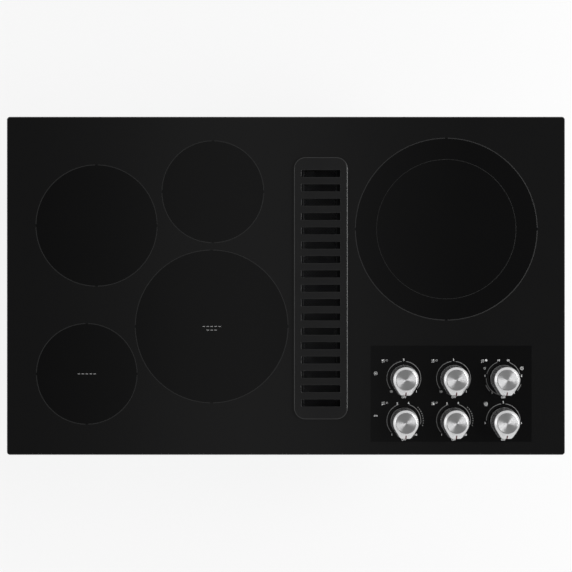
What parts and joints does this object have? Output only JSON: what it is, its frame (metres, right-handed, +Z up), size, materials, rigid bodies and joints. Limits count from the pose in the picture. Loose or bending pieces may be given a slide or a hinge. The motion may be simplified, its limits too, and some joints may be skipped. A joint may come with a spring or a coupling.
{
  "type": "downdraft cooktop",
  "caption": "Drop-in radiant glass cooktop with pointer knobs at the right front and a lift-out slotted vent grille over a downdraft chamber and blower.",
  "frame": {"origin": "middle of the glass, in the plane of the worktop that the edge seal lies on", "axes": "+X to the user's right along the long side, +Y to the back, +Z up"},
  "size_m": [0.921, 0.558, 0.3406],
  "materials": {
    "black_glass": "polished black glass-ceramic",
    "foam_seal": "closed-cell foam",
    "galvanised_steel": "galvanised sheet",
    "motor_black": "black enamel",
    "bright_steel": "zinc plated",
    "black_grille": "black enamel",
    "filter_aluminium": "layered aluminium mesh",
    "switch_plastic": "moulded phenolic",
    "lamp_plastic": "red lens",
    "limiter_ceramic": "white ceramic",
    "black_rubber": "moulded rubber",
    "knob_metal": "satin",
    "spun_aluminium": "spun face",
    "insulation_fibre": "moulded fibre",
    "heater_alloy": "oxidised ribbon"
  },
  "bodies": {
    "base": {"glass_top": "black_glass", "edge_seal": "foam_seal", "burner_box": "galvanised_steel", "vent_chamber": "galvanised_steel", "switch_bracket": "galvanised_steel", "element_straps": "galvanised_steel", "terminal_box": "galvanised_steel", "blower_housing": "galvanised_steel", "outlet_collar": "galvanised_steel", "hold_down_brackets": "galvanised_steel", "blower_motor": "motor_black", "clamp_screws": "bright_steel", "chassis_screws": "bright_steel", "infinite_switches": "switch_plastic", "fan_speed_control": "switch_plastic", "indicator_lamps": "lamp_plastic", "heat_limiters": "limiter_ceramic", "shaft_seals": "black_rubber", "element_pan_left_rear": "galvanised_steel", "element_insulation_left_rear": "insulation_fibre", "element_ribbon_left_rear": "heater_alloy", "element_pan_centre_rear": "galvanised_steel", "element_insulation_centre_rear": "insulation_fibre", "element_ribbon_centre_rear": "heater_alloy", "element_pan_left_front": "galvanised_steel", "element_insulation_left_front": "insulation_fibre", "element_ribbon_left_front": "heater_alloy", "element_pan_centre_front": "galvanised_steel", "element_insulation_centre_front": "insulation_fibre", "element_ribbon_centre_front": "heater_alloy", "element_pan_right": "galvanised_steel", "element_insulation_right": "insulation_fibre", "element_ribbon_right": "heater_alloy"},
    "cam_left_rear": {"cam_left_rear": "switch_plastic"},
    "cam_centre_rear": {"cam_centre_rear": "switch_plastic"},
    "cam_right": {"cam_right": "switch_plastic"},
    "cam_left_front": {"cam_left_front": "switch_plastic"},
    "cam_centre_front": {"cam_centre_front": "switch_plastic"},
    "knob_left_rear": {"knob_left_rear": "knob_metal", "knob_cap_left_rear": "spun_aluminium", "shaft_left_rear": "bright_steel"},
    "knob_centre_rear": {"knob_centre_rear": "knob_metal", "knob_cap_centre_rear": "spun_aluminium", "shaft_centre_rear": "bright_steel"},
    "knob_right": {"knob_right": "knob_metal", "knob_cap_right": "spun_aluminium", "shaft_right": "bright_steel"},
    "knob_left_front": {"knob_left_front": "knob_metal", "knob_cap_left_front": "spun_aluminium", "shaft_left_front": "bright_steel"},
    "knob_centre_front": {"knob_centre_front": "knob_metal", "knob_cap_centre_front": "spun_aluminium", "shaft_centre_front": "bright_steel"},
    "knob_fan": {"knob_fan": "knob_metal", "knob_cap_fan": "spun_aluminium", "shaft_fan": "bright_steel"},
    "grille": {"vent_grille": "black_grille"},
    "filter": {"grease_filter": "filter_aluminium"},
    "wheel": {"blower_wheel": "galvanised_steel", "motor_shaft": "bright_steel"}
  },
  "joints": [
    {"name": "turn_left_rear", "type": "hinge", "parent": "base", "child": "cam_left_rear", "pos_m": [0.19461, -0.1525, 0], "axis": [0, 0, 1], "continuous": true},
    {"name": "push_left_rear", "type": "slide", "parent": "cam_left_rear", "child": "knob_left_rear", "axis": [0, 0, -1], "range_m": [0, 0.003], "stiffness_N_per_m": 1500, "springref_m": -0.002},
    {"name": "turn_centre_rear", "type": "hinge", "parent": "base", "child": "cam_centre_rear", "pos_m": [0.27661, -0.1525, 0], "axis": [0, 0, 1], "continuous": true},
    {"name": "push_centre_rear", "type": "slide", "parent": "cam_centre_rear", "child": "knob_centre_rear", "axis": [0, 0, -1], "range_m": [0, 0.003], "stiffness_N_per_m": 1500, "springref_m": -0.002},
    {"name": "turn_right", "type": "hinge", "parent": "base", "child": "cam_right", "pos_m": [0.35861, -0.1525, 0], "axis": [0, 0, 1], "continuous": true},
    {"name": "push_right", "type": "slide", "parent": "cam_right", "child": "knob_right", "axis": [0, 0, -1], "range_m": [0, 0.003], "stiffness_N_per_m": 1500, "springref_m": -0.002},
    {"name": "turn_left_front", "type": "hinge", "parent": "base", "child": "cam_left_front", "pos_m": [0.19461, -0.2225, 0], "axis": [0, 0, 1], "continuous": true},
    {"name": "push_left_front", "type": "slide", "parent": "cam_left_front", "child": "knob_left_front", "axis": [0, 0, -1], "range_m": [0, 0.003], "stiffness_N_per_m": 1500, "springref_m": -0.002},
    {"name": "turn_centre_front", "type": "hinge", "parent": "base", "child": "cam_centre_front", "pos_m": [0.27661, -0.2225, 0], "axis": [0, 0, 1], "continuous": true},
    {"name": "push_centre_front", "type": "slide", "parent": "cam_centre_front", "child": "knob_centre_front", "axis": [0, 0, -1], "range_m": [0, 0.003], "stiffness_N_per_m": 1500, "springref_m": -0.002},
    {"name": "turn_fan", "type": "hinge", "parent": "base", "child": "knob_fan", "pos_m": [0.35861, -0.2225, 0], "axis": [0, 0, 1], "range_deg": [-270, 0]},
    {"name": "grille_lift", "type": "slide", "parent": "base", "child": "grille", "axis": [0, 0, 1], "range_m": [0, 0.12]},
    {"name": "filter_lift", "type": "slide", "parent": "base", "child": "filter", "axis": [0, 0, 1], "range_m": [0, 0.06]},
    {"name": "wheel_spin", "type": "hinge", "parent": "base", "child": "wheel", "pos_m": [0.15001, -0.034, -0.1797], "axis": [1, 0, 0], "continuous": true}
  ],
  "couplings": [
    {"joint": "filter_lift", "follows": "grille_lift", "ratio": 0.5}
  ]
}
